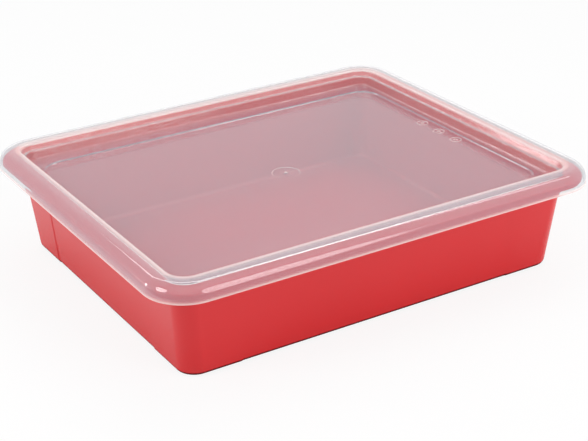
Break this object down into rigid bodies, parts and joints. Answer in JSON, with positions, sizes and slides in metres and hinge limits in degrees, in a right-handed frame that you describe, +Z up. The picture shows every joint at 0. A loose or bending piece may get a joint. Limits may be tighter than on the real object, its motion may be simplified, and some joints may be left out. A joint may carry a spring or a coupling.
{
  "type": "flat storage tray with lid",
  "caption": "Shallow rectangular moulded storage tray with drafted walls and a turned-down rim, closed by a see-through lift-off lid with a rolled rim and a recessed panel for stacking.",
  "frame": {"origin": "on the ground under the middle of the tray, with the lid seated", "axes": "+X along the long side, +Y across to the back, +Z up"},
  "size_m": [0.343, 0.286, 0.0763],
  "materials": {
    "tray_red": "satin gloss moulded polypropylene, solid red",
    "lid_clear": "gloss moulded clarified polypropylene, see-through and slightly milky"
  },
  "bodies": {
    "tray": {"tray": "tray_red"},
    "lid": {"lid": "lid_clear"}
  },
  "joints": [
    {"name": "lid_lift", "type": "slide", "parent": "tray", "child": "lid", "axis": [0, 0, 1], "range_m": [0, 0.12]}
  ]
}
